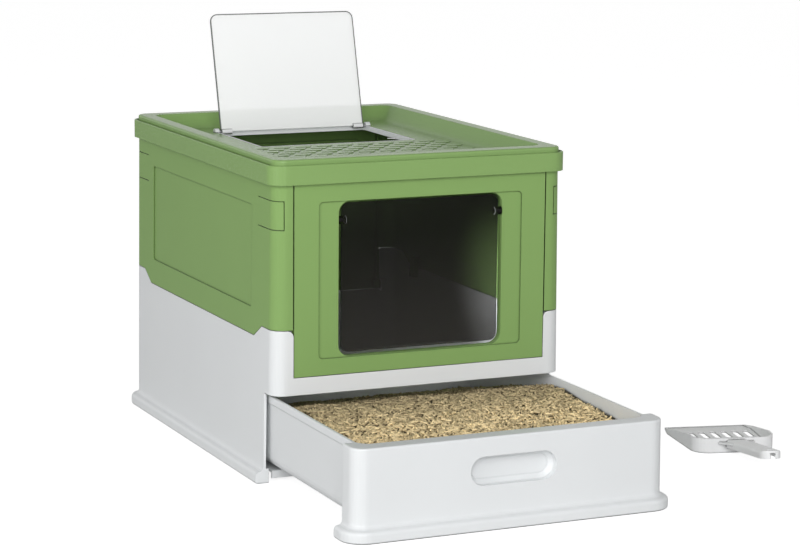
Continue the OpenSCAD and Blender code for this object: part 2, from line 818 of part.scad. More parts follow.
module drawer_tray() {
    cap_len = 4 * cap_d;
    edge = 2;
    roll = flange_w;
    cap_top = arc_pts([-edge, drawer_h - edge], edge, 0, 90, 3);
    hollow = [
        [plinth_out - foot_wall, -past], [plinth_out - foot_wall, plinth_h - foot_wall - 1],
        [-skin, plinth_h + skin], [-skin, drawer_h - tub_wall]
    ];
    flange = concat(
        [[0, drawer_h - flange_h - flange_w], [flange_w, drawer_h - flange_h]],
        arc_pts([flange_w - roll, drawer_h - roll], roll, 0, 90, 3)
    );
    color(white) difference() {
        union() {
            difference() {
                intersection() {
                    translate([0, cap_y + cap_len / 2, 0])
                        loft(wall_rings(cap_w, cap_len, corner_r, plinth_profile(cap_top)));
                    box([-house_w, -2 * house_d, -past], [house_w, cap_y + cap_d, drawer_h + past]);
                }
                intersection() {
                    translate([0, cap_y + cap_len / 2, 0])
                        loft(wall_rings(cap_w, cap_len, corner_r, hollow));
                    box([-house_w, -2 * house_d, -2 * past], [house_w, cap_y + cap_d - tub_wall, drawer_h]);
                }
            }
            tub_place() loft(tub_rings(0, drawer_h - eps));
            tub_place() loft([
                for (p = flange) [tub_w + 2 * p[0], tub_y1 - tub_y0 + 2 * p[0], tub_corner + p[0], p[1]]
            ]);
            pull_pocket(tub_wall, pull_d + tub_wall);
        }
        tub_place() loft(tub_rings(tub_wall, drawer_h + past));
        translate([0, -eps, 0]) pull_pocket(0, pull_d);
    }
}

// The litter as one bed that rises from the tub's front to a crest and falls away behind it
module litter_bed() {
    steps = 8;
    color("#c9b283") intersection() {
        tub_place() loft(tub_rings(tub_wall + 0.3, drawer_h));
        across(-house_w, house_w) polygon(concat(
            [[tub_y0, 0], [tub_y1, 0], [tub_y1, litter_back]],
            [for (i = [0:steps]) let (t = i / steps)
                [litter_y + t * (tub_y0 - litter_y), litter_front + (litter_crest - litter_front) * cos(90 * t)]]
        ));
    }
}

// Plan of the scoop's blade, from its edge at X = 0 back, shrunk by "in"
module blade_plan(in) {
    half = scoop_w / 2 - in;
    x = blade_l - blade_r;
    y = scoop_w / 2 - blade_edge - blade_r;
    polygon(concat(
        [[2 * in, blade_edge - half], [blade_flare, -half]],
        arc_pts([x, -y], blade_r - in, -90, 0, arc_steps),
        arc_pts([x, y], blade_r - in, 0, 90, arc_steps),
        [[blade_flare, half], [2 * in, half - blade_edge]]
    ));
}

// Slots of the blade, in rows given as [distance from the edge, length, number]
module blade_slots() {
    r = slot_w / 2;
    for (row = slot_rows, i = [0:row[2] - 1])
        translate([row[0], (i - (row[2] - 1) / 2) * slot_step, -past]) linear_extrude(scoop_t + 2 * past)
            polygon(concat(arc_pts([r, 0], r, 90, 270, 6), arc_pts([row[1] - r, 0], r, -90, 90, 6)));
}

// Blade with a wall round it that rises from the edge backwards
module blade() {
    difference() {
        linear_extrude(scoop_h) blade_plan(0);
        translate([0, 0, scoop_t]) linear_extrude(scoop_h) blade_plan(scoop_t);
        rotate([90, 0, 0]) translate([0, 0, -scoop_w]) linear_extrude(2 * scoop_w) polygon([
            [-past, scoop_t], [blade_edge, scoop_t + past],
            [blade_l - 1.5 * blade_r, scoop_h + eps], [-past, scoop_h + past]
        ]);
        blade_slots();
    }
}

// Bar with round upper edges and a round end, shrunk by "in"
module handle_bar(in) {
    w = handle_w / 2 - in;
    h = handle_h - in;
    reach = scoop_l - blade_l - handle_w / 2;
    intersection() {
        linear_extrude(handle_h) polygon(concat([[0, -w]], arc_pts([reach, 0], w, -90, 90, 12), [[0, w]]));
        rotate([90, 0, 90]) linear_extrude(scoop_l) polygon(concat(
            [[-w, 0], [w, 0]],
            arc_pts([w - handle_r, h - handle_r], handle_r, 0, 90, 5),
            arc_pts([handle_r - w, h - handle_r], handle_r, 90, 180, 5)
        ));
    }
}

// Handle, open below, with a web at its root and a hole to hang it by
module handle() {
    reach = scoop_l - blade_l - handle_w / 2;
    difference() {
        union() {
            handle_bar(0);
            translate([0, 0, handle_h - 2 * scoop_t]) linear_extrude(scoop_t)
                polygon([[0, -web_w / 2], [web_l, -handle_w / 2], [web_l, handle_w / 2], [0, web_w / 2]]);
        }
        translate([scoop_t, 0, -eps]) handle_bar(scoop_t);
        translate([reach, 0, -past]) cylinder(r = hang_r, h = handle_h + 2 * past, $fn = 32);
    }
}

module scoop() {
    root_x = blade_l - 0.8;
    root_z = scoop_h - handle_h - 2;
    color(white) translate([scoop_x, scoop_y, 0]) rotate(scoop_turn) {
        blade();
        translate([root_x, 0, root_z]) rotate([0, -handle_rise, 0]) handle();
    }
}

base_frame();
left_panel();
right_panel();
front_panel();
rear_panel();
front_flap();
front_flap_pins();
lid();
hatch_frame();
top_flap();
top_flap_pins();
drawer_tray();
litter_bed();
scoop();
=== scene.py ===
"""Drawer litter house in Blender: its mouldings, flaps, litter, scoop and studio."""
import json
import math

import bpy
import numpy as np
from mathutils import Matrix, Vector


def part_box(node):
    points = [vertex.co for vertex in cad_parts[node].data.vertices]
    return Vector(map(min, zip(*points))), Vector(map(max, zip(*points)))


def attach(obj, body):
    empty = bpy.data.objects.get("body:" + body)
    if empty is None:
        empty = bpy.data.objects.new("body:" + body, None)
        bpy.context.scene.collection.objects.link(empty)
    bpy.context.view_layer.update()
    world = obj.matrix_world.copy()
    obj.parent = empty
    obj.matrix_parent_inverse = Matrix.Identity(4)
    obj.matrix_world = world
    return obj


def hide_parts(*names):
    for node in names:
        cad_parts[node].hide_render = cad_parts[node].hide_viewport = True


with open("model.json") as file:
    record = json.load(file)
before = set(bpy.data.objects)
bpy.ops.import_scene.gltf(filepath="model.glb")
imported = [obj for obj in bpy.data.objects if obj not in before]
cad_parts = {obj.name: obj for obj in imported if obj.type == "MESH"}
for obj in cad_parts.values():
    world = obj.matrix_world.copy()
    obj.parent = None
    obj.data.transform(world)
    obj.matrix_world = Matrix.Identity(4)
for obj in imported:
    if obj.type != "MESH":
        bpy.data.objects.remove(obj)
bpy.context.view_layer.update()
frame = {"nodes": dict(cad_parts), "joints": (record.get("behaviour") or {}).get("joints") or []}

bl_info = {
    "name": "Drawer litter house",
    "version": (1, 0, 0),
    "blender": (4, 5, 0),
    "location": "View3D > Sidebar > Litter house",
    "description": "Finishes the packed litter house with plastics, flaps, litter and a studio",
    "category": "Object",
}

MM = 0.001

# Camera fitted to the straight edges of the house in the photograph: its lens and sensor in millimetres,
# its angles in degrees, its distance and target in metres
CAMERA_LENS = 117.934
CAMERA_SENSOR = 36.0
CAMERA_AZIMUTH = -24.352
CAMERA_ELEVATION = 10.114
CAMERA_ROLL = 0.502
CAMERA_DISTANCE = 2.841572
CAMERA_TARGET = (-0.025835, -0.230, 0.225275)

WHITE_MOULDINGS = ("base_frame", "drawer_tray", "hatch_frame")
GREEN_MOULDINGS = ("left_panel", "right_panel", "front_panel", "rear_panel")

# Roughness and gloss of each moulded finish
WHITE_SATIN = (0.38, 0.6)
PANEL_SATIN = (0.30, 0.12)
LID_SATIN = (0.26, 0.34)
SCOOP_SATIN = (0.30, 0.5)

# Depth of the plastic's grain and of the wood's fibres
GRAIN_DEPTH = 0.012 * MM
FIBRE_DEPTH = 0.15 * MM

# Each light's azimuth and elevation in degrees, then its distance from its target, its width and its
# height in metres
KEY_PLACE = (-22, 23, 3.2, 1.8, 1.8)
STRIP_PLACE = (-66, 14, 3.0, 0.6, 1.8)
INNER_PLACE = (-82, 9, 0.12, 0.05, 0.03)
INNER_SPREAD = 38
LIGHT_TARGET = (0, -0.1, 0.2)

# Heights of the litter at the front and the back of the drawer, as in the CAD solid
LITTER_FRONT = 76 * MM
LITTER_BACK = 40 * MM
# Distance from the drawer's foremost point back to the litter's crest
LITTER_REACH = 231 * MM
# Distances in front of the crest where the header's shade on the litter is full and where it has ended
LITTER_SHADE = (5 * MM, 100 * MM)
# Corner radius of the litter bed's outline and how far its underside is drawn in
LITTER_CORNER = 13 * MM
LITTER_TUCK = 9 * MM
# Height of the litter's low heaps, and how deep the most buried pellets lie
LITTER_HEAP = 3.5 * MM
LITTER_SUNK = 4.0 * MM
# Lengths in metres of the waves whose sum gives the heaps, and how many waves have each length
HEAP_LENGTHS = (0.09, 0.045, 0.022)
HEAP_WAVES = 3

# Sheet under the pellets: its points from front to back and from side to side, how far its ends and
# its underside stay inside the bed's box, and its depth under the litter's height in pellet radii
SHEET_GRID = (121, 91)
SHEET_INSET = 0.3 * MM
SHEET_LIFT = 1 * MM
SHEET_DEPTH = 4
# Its shade as a pellet, and the share of that which it shows in the pellets' shadow
SHEET_SHADE = 0.1
SHEET_DIM = 0.4

# Sides of a pellet: six, because two quads close each end
PELLET_SIDES = 6
# Ranges of a pellet's length and radius as shares of their means, and of its shade
PELLET_LENGTHS = (0.6, 1.35)
PELLET_RADII = (0.85, 1.12)
PELLET_SHADES = (0.45, 1.0)
# Spread of a pellet's tilt and the tilt's largest value, in radians
PELLET_TILT = 0.6
PELLET_STEEPEST = 1.1
# Power that keeps most pellets near the top, the share of its lightness that painted shade takes from the
# most buried pellet, and the share that the header's full painted shade leaves
BURIED_POWER = 1.5
BURIED_LOSS = 0.85
SHADED_SHARE = 0.45

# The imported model's hinges by name
HINGES = {joint["name"]: joint for joint in frame["joints"] if joint["type"] == "hinge"}

# Door flap: the axis it swings on, the band of X that holds its knuckles' inner ends, and the radii of
# the ring on them
DOOR_HINGE = HINGES["door_swing"]["pos_m"]
KNUCKLE_END = (88.5 * MM, 89.0 * MM)
KNUCKLE_RING = (3.3 * MM, 4.6 * MM)

# Open hatch flap: where it is hinged, its lean in degrees, by which its swing to level exceeds a right
# angle, half its width, its length and corner radius
FLAP_HINGE = HINGES["hatch_swing"]["pos_m"]
FLAP_LEAN = HINGES["hatch_swing"]["range_deg"][1] - 90
FLAP_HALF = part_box("top_flap")[1][0]
FLAP_LENGTH = 142 * MM
FLAP_CORNER = 9 * MM


# ---------------------------------------------------------------- settings


class LitterHousePlastics(bpy.types.PropertyGroup):
    """Colours and surface of the moulded pieces."""

    white: bpy.props.FloatVectorProperty(
        name="White", description="Colour of the base, the drawer and the hatch frame",
        subtype="COLOR", default=(0.765, 0.783, 0.792), min=0, max=1,
    )
    green: bpy.props.FloatVectorProperty(
        name="Green", description="Colour of the panels and the lid",
        subtype="COLOR", default=(0.234, 0.378, 0.126), min=0, max=1,
    )
    scoop: bpy.props.FloatVectorProperty(
        name="Scoop", description="Colour of the scoop",
        subtype="COLOR", default=(0.92, 0.925, 0.93), min=0, max=1,
    )
    grain: bpy.props.FloatProperty(
        name="Grain", description="Size of the fine grain of the moulded plastic",
        unit="LENGTH", default=0.9 * MM, min=0.0001, max=0.01,
    )
    edge: bpy.props.FloatProperty(
        name="Edge", description="Radius to which moulded edges look rounded",
        unit="LENGTH", default=0.7 * MM, min=0.0001, max=0.003,
    )
    # Reach of the painted shade that darkens inner corners and narrow seams
    crease: bpy.props.FloatProperty(
        name="Crease", description="Distance over which inner corners and narrow seams darken",
        unit="LENGTH", default=2.4 * MM, min=0.0001, max=0.02,
    )


class LitterHouseFlaps(bpy.types.PropertyGroup):
    """Sheet of the two flaps and steel of their pins."""

    smoke: bpy.props.FloatVectorProperty(
        name="Smoke", description="Colour of the door flap's sheet",
        subtype="COLOR", default=(0.010, 0.009, 0.008), min=0, max=1,
    )
    smoke_cover: bpy.props.FloatProperty(
        name="Smoke cover",
        description="Share of the light that one face of the door flap holds back",
        subtype="FACTOR", default=0.66, min=0, max=1,
    )
    ring: bpy.props.FloatVectorProperty(
        name="Knuckle ring",
        description="Colour of the rings on the ends of the door flap's knuckles",
        subtype="COLOR", default=(0.30, 0.31, 0.31), min=0, max=1,
    )
    clear: bpy.props.FloatVectorProperty(
        name="Clear", description="Colour of the hatch flap's milky cast",
        subtype="COLOR", default=(0.97, 0.975, 0.98), min=0, max=1,
    )
    clear_cover: bpy.props.FloatProperty(
        name="Clear cover",
        description="Share of the light that one face of the hatch flap holds back",
        subtype="FACTOR", default=0.7, min=0, max=1,
    )
    # Painted glow: light given off by the hatch flap's faces, standing in for light from behind passing
    # through
    clear_painted_glow: bpy.props.FloatProperty(
        name="Clear glow",
        description="Light from behind that the hatch flap's cast passes on",
        default=0.07, min=0, max=1,
    )
    rim: bpy.props.FloatVectorProperty(
        name="Cut edge", description="Colour of the hatch flap's cut edges",
        subtype="COLOR", default=(0.16, 0.17, 0.165), min=0, max=1,
    )
    rim_width: bpy.props.FloatProperty(
        name="Edge band",
        description="Width of the dark line that the cut edge draws along the sheet's faces",
        unit="LENGTH", default=1.3 * MM, min=0.0001, max=0.008,
    )


class LitterHouseLitter(bpy.types.PropertyGroup):
    """Wood pellets in the drawer."""

    count: bpy.props.IntProperty(
        name="Pellets", description="Number of pellets lying on the litter bed",
        default=18500, min=100, max=19000,
    )
    length: bpy.props.FloatProperty(
        name="Length", description="Mean length of a pellet",
        unit="LENGTH", default=9.0 * MM, min=0.002, max=0.02,
    )
    radius: bpy.props.FloatProperty(
        name="Radius", description="Radius of a pellet",
        unit="LENGTH", default=0.95 * MM, min=0.0005, max=0.004,
    )
    colour: bpy.props.FloatVectorProperty(
        name="Pellet colour", description="Mean colour of the pellets",
        subtype="COLOR", default=(0.83, 0.67, 0.39), min=0, max=1,
    )
    seed: bpy.props.IntProperty(
        name="Seed", description="Start of the pellets' random places", default=11, min=0,
    )


class LitterHouseStudio(bpy.types.PropertyGroup):
    """Floor and lights."""

    floor_size: bpy.props.FloatProperty(
        name="Floor", description="Width of the studio floor",
        unit="LENGTH", default=24.0, min=2, max=60,
    )
    floor_glow: bpy.props.FloatProperty(
        name="Floor glow", description="Light given off by the pale floor",
        default=0.1, min=0, max=2,
    )
    floor_white: bpy.props.FloatProperty(
        name="Floor white", description="Light that the floor shows to the camera alone",
        default=0.72, min=0, max=2,
    )
    horizon: bpy.props.FloatProperty(
        name="Horizon", description="Strength of the surroundings near the horizon",
        default=1.1, min=0, max=4,
    )
    zenith: bpy.props.FloatProperty(
        name="Overhead", description="Strength of the surroundings overhead",
        default=0.16, min=0, max=4,
    )
    key: bpy.props.FloatProperty(
        name="Key light", description="Power of the large soft light in front of the house",
        unit="POWER", default=53.0, min=0, max=1000,
    )
    strip: bpy.props.FloatProperty(
        name="Strip light",
        description="Power of the upright strip that draws the left corner's highlight",
        unit="POWER", default=19.5, min=0, max=1000,
    )
    inner: bpy.props.FloatProperty(
        name="Inner light",
        description="Power of the small light inside that shows the cabin through the door flap",
        unit="POWER", default=0.075, min=0, max=20,
    )


# ---------------------------------------------------------------- shader maths


class Wire:
    """A shader socket that takes part in Python sums, each of which adds a Math node."""

    def __init__(self, tree, socket):
        self.tree = tree
        self.socket = socket

    def _math(self, operation, *values):
        return self.tree.node("ShaderNodeMath", {"operation": operation}, dict(enumerate(values)))[0]

    def __add__(self, other):
        return self._math("ADD", self, other)

    def __radd__(self, other):
        return self._math("ADD", other, self)

    def __sub__(self, other):
        return self._math("SUBTRACT", self, other)

    def __rsub__(self, other):
        return self._math("SUBTRACT", other, self)

    def __mul__(self, other):
        return self._math("MULTIPLY", self, other)

    def __rmul__(self, other):
        return self._math("MULTIPLY", other, self)

    def __abs__(self):
        return self._math("ABSOLUTE", self)

    def __lt__(self, other):
        return self._math("LESS_THAN", self, other)

    def __gt__(self, other):
        return self._math("GREATER_THAN", self, other)

    def at_least(self, other):
        return self._math("MAXIMUM", self, other)


class Tree:
    """A node tree whose nodes are added by kind, with wires between them."""

    def __init__(self, tree):
        self.tree = tree

    def feed(self, socket, value):
        """Links a wire to a socket, or sets the socket's own value."""
        if isinstance(value, Wire):
            self.tree.links.new(value.socket, socket)
        else:
            socket.default_value = value

    def node(self, kind, settings, inputs):
        """A node of a kind, with its settings, then its inputs; gives its outputs as wires."""
        made = self.tree.nodes.new(kind)
        for key, value in settings.items():
            setattr(made, key, value)
        for key, value in inputs.items():
            self.feed(made.inputs[key], value)
        return [Wire(self, socket) for socket in made.outputs]

    def place(self):
        """Object coordinates, in metres."""
        return self.node("ShaderNodeTexCoord", {}, {})[3]

    def noise(self, size, detail):
        """Smooth noise between 0 and 1 with patches of about this size, in metres."""
        inputs = {"Vector": self.place(), "Scale": 1 / size, "Detail": detail}
        return self.node("ShaderNodeTexNoise", {}, inputs)[0]

    def along(self, vector, direction):
        """How far a vector reaches in a direction of length 1."""
        return self.node("ShaderNodeVectorMath", {"operation": "DOT_PRODUCT"}, {0: vector, 1: direction})[1]

    def mapped(self, wire, low, high, from_low=0.0, from_high=1.0):
        """The wire's value brought from one range to another."""
        return self.node(
            "ShaderNodeMapRange", {},
            {"Value": wire, "From Min": from_low, "From Max": from_high, "To Min": low, "To Max": high},
        )[0]

    def shade(self, colour, factor):
        """A colour times a factor."""
        return self.node(
            "ShaderNodeVectorMath", {"operation": "SCALE"}, {"Vector": tuple(colour)[:3], "Scale": factor},
        )[0]

    def mix(self, factor, first, second):
        """A colour between two, at the share that the factor gives."""
        node = self.tree.nodes.new("ShaderNodeMix")
        node.data_type = "RGBA"
        for socket, value in zip((node.inputs[0], node.inputs[6], node.inputs[7]), (factor, first, second)):
            self.feed(socket, value if isinstance(value, Wire) else opaque(value))
        return Wire(self, node.outputs[2])

    def bump(self, height, depth, normal=None):
        """A normal tilted by a height between 0 and 1 that stands for this depth, in metres."""
        inputs = {"Height": height, "Distance": depth, "Strength": 1.0}
        if normal is not None:
            inputs["Normal"] = normal
        return self.node("ShaderNodeBump", {}, inputs)[0]


def opaque(colour):
    """A colour as four numbers, with full cover."""
    return tuple(colour)[:3] + (1.0,)


class Finish(Tree):
    """A material with a Principled shader at its end."""

    def __init__(self, name):
        self.material = bpy.data.materials.new(name)
        self.material.use_nodes = True
        super().__init__(self.material.node_tree)
        self.tree.nodes.clear()
        output = self.tree.nodes.new("ShaderNodeOutputMaterial")
        self.shader = self.tree.nodes.new("ShaderNodeBsdfPrincipled")
        self.tree.links.new(self.shader.outputs[0], output.inputs["Surface"])

    def surface(self, **values):
        """Sets or links the Principled shader's sockets, named with _ for a space."""
        for key, value in values.items():
            self.feed(self.shader.inputs[key.replace("_", " ")], value)


def moulded_plastic(name, colour, settings, satin):
    """Satin moulded plastic: a faint grain, slow changes of shade, softened edges, and painted shade that
    darkens inner corners and creases.
    """
    f = Finish(name)
    roughness, gloss = satin
    slow = f.noise(0.12, 2.0)
    fine = f.noise(settings.grain, 3.0)
    soft = f.node("ShaderNodeBevel", {"samples": 6}, {"Radius": settings.edge})[0]
    # Painted shade: the colour darkens in inner corners and narrow seams, the more closed in they are
    painted_crease_shade = f.node("ShaderNodeAmbientOcclusion", {"samples": 6}, {"Distance": settings.crease})[1]
    tone = f.mapped(slow, 0.975, 1.025) * f.mapped(painted_crease_shade, 0.15, 1.0, 0.35, 0.92)
    f.surface(
        Base_Color=f.shade(colour, tone),
        Roughness=f.mapped(fine, roughness - 0.05, roughness + 0.05),
        Normal=f.bump(fine, GRAIN_DEPTH, soft),
        Specular_IOR_Level=gloss,
    )
    return f.material


def smoked_sheet(name, settings):
    """Smoked sheet, which holds back a share of the light at each face, with painted light and shade that
    make it lighter low down and darker higher up.

    A ring shows on each knuckle's inner end: the places between two distances from the hinge's axis."""
    f = Finish(name)
    haze = f.noise(0.05, 3.0)
    side, depth, height = f.node("ShaderNodeSeparateXYZ", {}, {0: f.place()})
    ahead = depth - DOOR_HINGE[1]
    above = height - DOOR_HINGE[2]
    reach = ahead * ahead + above * above
    inner, outer = KNUCKLE_RING
    start, end = KNUCKLE_END
    aside = abs(side)
    ring = (reach > inner**2) * (reach < outer**2) * (aside > start) * (aside < end)
    # Painted light and shade: the sheet's colour is lighter low down and darker higher up
    smoke = f.shade(settings.smoke, f.mapped(height, 2.6, 0.6, 0.15, 0.27))
    f.surface(
        Base_Color=f.mix(ring, smoke, settings.ring),
        Roughness=f.mapped(haze, 0.05, 0.09),
        Alpha=f.mapped(ring, settings.smoke_cover, 1.0),
        Specular_IOR_Level=0.18,
    )
    return f.material


def clear_sheet(name, settings):
    """Clear sheet with a faint cast on its two faces, a painted glow on those faces, and darker cut edges.

    An edge is where the surface's direction is square to the leaning sheet's own. Its dark line covers the
    faces where the distance from the straight parts of the rounded outline comes near the corner radius."""
    f = Finish(name)
    lean = math.radians(FLAP_LEAN)
    out = (0.0, math.cos(lean), -math.sin(lean))
    up = (0.0, math.sin(lean), math.cos(lean))
    facing = f.along(f.node("ShaderNodeTexCoord", {}, {})[1], out)
    sideways = abs(f.along(f.place(), (1.0, 0.0, 0.0)))
    upwards = f.along(f.place(), up) - float(np.dot(FLAP_HINGE, up))
    past_side = (sideways - (FLAP_HALF - FLAP_CORNER)).at_least(0.0)
    past_top = (upwards - (FLAP_LENGTH - FLAP_CORNER)).at_least(0.0)
    near = past_side * past_side + past_top * past_top > (FLAP_CORNER - settings.rim_width) ** 2
    is_edge = (abs(facing) < 0.7).at_least(near)
    haze = f.noise(0.05, 3.0)
    f.surface(
        Base_Color=f.mix(is_edge, settings.clear, settings.rim),
        Roughness=f.mapped(haze, 0.08, 0.14),
        Alpha=f.mapped(is_edge, settings.clear_cover, 0.8),
        Specular_IOR_Level=0.3,
        # Painted glow on the sheet's faces, standing in for light from behind
        Emission_Color=f.mix(is_edge, settings.clear, (0.0, 0.0, 0.0)),
        Emission_Strength=settings.clear_painted_glow,
    )
    return f.material


def drawn_steel(name):
    """Bright drawn wire with fine marks along it."""
    f = Finish(name)
    marks = f.noise(0.4 * MM, 2.0)
    f.surface(
        Base_Color=(0.62, 0.62, 0.63, 1.0),
        Metallic=1.0,
        Roughness=f.mapped(marks, 0.22, 0.38),
    )
    return f.material


def pressed_wood(name, colour, dim):
    """Pressed wood: each pellet has a random tone times its painted shade, with fibres and darker specks."""
    f = Finish(name)
    tone_and_painted_shade = f.node("ShaderNodeAttribute", {"attribute_name": "shade"}, {})[2]
    fibre = f.noise(0.8 * MM, 4.0)
    speck = f.noise(2.2 * MM, 2.0)
    tone = f.mapped(tone_and_painted_shade, 0.1, 1.4) * f.mapped(fibre, 0.85, 1.15) * f.mapped(speck, 0.9, 1.1) * dim
    f.surface(
        Base_Color=f.shade(colour, tone),
        Roughness=f.mapped(fibre, 0.75, 0.95),
        Normal=f.bump(fibre, FIBRE_DEPTH),
        Specular_IOR_Level=0.25,
    )
    return f.material


def paint(piece, material):
    """Gives every material slot of a piece this material."""
    if not piece.material_slots:
        piece.data.materials.append(material)
    for holder in piece.material_slots:
        holder.material = material


# ---------------------------------------------------------------- mesh helpers


def make_mesh(name, points, faces):
    """An object from arrays of points and of faces that all have as many corners."""
    mesh = bpy.data.meshes.new(name)
    corners = faces.shape[1]
    mesh.vertices.add(len(points))
    mesh.vertices.foreach_set("co", np.ascontiguousarray(points, np.float32).ravel())
    mesh.loops.add(faces.size)
    mesh.loops.foreach_set("vertex_index", faces.astype(np.int32).ravel())
    mesh.polygons.add(len(faces))
    mesh.polygons.foreach_set("loop_start", np.arange(0, faces.size, corners, dtype=np.int32))
    mesh.update(calc_edges=True)
    obj = bpy.data.objects.new(name, mesh)
    bpy.context.scene.collection.objects.link(obj)
    return obj


def smooth(obj, flags=None):
    """Smooth shading on all faces, or on those flagged."""
    count = len(obj.data.polygons)
    obj.data.polygons.foreach_set("use_smooth", np.ones(count, bool) if flags is None else flags)
    obj.data.update()


def set_shade(obj, values):
    """Stores one shade between 0 and 1 for each point."""
    layer = obj.data.attributes.new("shade", "FLOAT", "POINT")
    layer.data.foreach_set("value", np.ascontiguousarray(values, np.float32))


# ---------------------------------------------------------------- litter


def bed_halfwidth(y, low, high):
    """Half the litter bed's width at a depth: full, less a quarter round near both ends."""
    near = np.minimum(y - low[1], high[1] - y)
    short = np.clip(LITTER_CORNER - near, 0, LITTER_CORNER)
    round_off = LITTER_CORNER - np.sqrt(np.maximum(LITTER_CORNER**2 - short**2, 0))
    return (high[0] - low[0]) / 2 - round_off


def litter_crest():
    """Depth of the litter's highest line, as Y."""
    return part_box("drawer_tray")[0][1] + LITTER_REACH


def bed_height(y, low, high):
    """The litter's height at a depth: a quarter cosine up to the crest and a straight slope behind it."""
    crest = litter_crest()
    ahead = np.clip((crest - y) / (crest - low[1]), 0, 1)
    behind = np.clip((y - crest) / (high[1] - crest), 0, 1)
    rise = LITTER_FRONT + (high[2] - LITTER_FRONT) * np.cos(ahead * math.pi / 2)
    return rise - (high[2] - LITTER_BACK) * behind


def bed_bumps(x, y, rng):
    """Low heaps between 0 and 1: a sum of waves in random directions and phases, the longer ones higher."""
    total = np.zeros(np.broadcast(x, y).shape)
    for length in np.repeat(HEAP_LENGTHS, HEAP_WAVES):
        angle, phase = rng.uniform(0, 2 * math.pi, 2)
        total += np.sin(2 * math.pi * (x * math.cos(angle) + y * math.sin(angle)) / length + phase) * length
    total -= total.min()
    return total / total.max()


def litter_bed(low, high, s):
    """The bed under the pellets: a bumpy sheet, closed by an underside drawn in from the tub's walls.

    Both are grids of rows from front to back, each row as wide as the outline there."""
    rng = np.random.default_rng(s.seed)
    rows, columns = SHEET_GRID
    y = np.linspace(low[1] + SHEET_INSET, high[1] - SHEET_INSET, rows)[:, None]
    u = np.linspace(-1, 1, columns)[None, :]
    middle = (low[0] + high[0]) / 2
    half = bed_halfwidth(y, low, high)
    x = middle + u * half
    top = bed_height(y, low, high) - SHEET_DEPTH * s.radius - LITTER_HEAP * bed_bumps(x, y, rng)
    centre = (low[1] + high[1]) / 2
    squeeze_x = 1 - LITTER_TUCK / half.max()
    squeeze_y = 1 - LITTER_TUCK / (high[1] - centre)
    under = np.full(top.shape, low[2] + SHEET_LIFT)
    upper = np.stack([x, y + 0 * x, top], -1).reshape(-1, 3)
    drawn_x = middle + (x - middle) * squeeze_x
    drawn_y = centre + (y - centre) * squeeze_y
    lower = np.stack([drawn_x, drawn_y + 0 * x, under], -1).reshape(-1, 3)
    index = np.arange(rows * columns).reshape(rows, columns)
    cell = np.stack([index[:-1, :-1], index[:-1, 1:], index[1:, 1:], index[1:, :-1]], -1).reshape(-1, 4)
    ring = np.concatenate([index[0, :-1], index[:-1, -1], index[-1, :0:-1], index[:0:-1, 0]])
    after = np.roll(ring, -1)
    count = rows * columns
    wall = np.stack([ring + count, after + count, after, ring], -1)
    faces = np.concatenate([cell, cell[:, ::-1] + count, wall])
    bed = make_mesh("litter_sheet", np.concatenate([upper, lower]), faces)
    smooth(bed)
    set_shade(bed, np.full(2 * count, SHEET_SHADE))
    return bed


def pellet_points(length, radius):
    """Pellets along X: two rings of points each, one at each end."""
    angle = np.arange(PELLET_SIDES) * 2 * math.pi / PELLET_SIDES
    ring = np.stack([0 * angle, np.cos(angle), np.sin(angle)], -1)
    ends = np.concatenate([ring - (0.5, 0, 0), ring + (0.5, 0, 0)])
    scale = np.stack([length, radius, radius], -1)
    return ends[None] * scale[:, None, :]


def pellet_faces(count):
    """Corners of every pellet's sides as quads, and of its two ends as pairs of quads."""
    sides = PELLET_SIDES
    i = np.arange(sides)
    j = (i + 1) % sides
    around = np.stack([i, i + sides, j + sides, j], -1)
    near = np.array([[0, 1, 2, 3], [0, 3, 4, 5]])
    far = near[:, ::-1] + sides
    one = np.concatenate([around, near, far])
    return (np.arange(count)[:, None, None] * 2 * sides + one[None]).reshape(-1, 4)


def turn(points, axis, angle):
    """Points of many pieces, each turned about an axis (0 for X, 1 for Y, 2 for Z) by its own angle."""
    a, b = [(1, 2), (2, 0), (0, 1)][axis]
    c, s = np.cos(angle)[:, None], np.sin(angle)[:, None]
    turned = points.copy()
    turned[..., a] = points[..., a] * c - points[..., b] * s
    turned[..., b] = points[..., a] * s + points[..., b] * c
    return turned


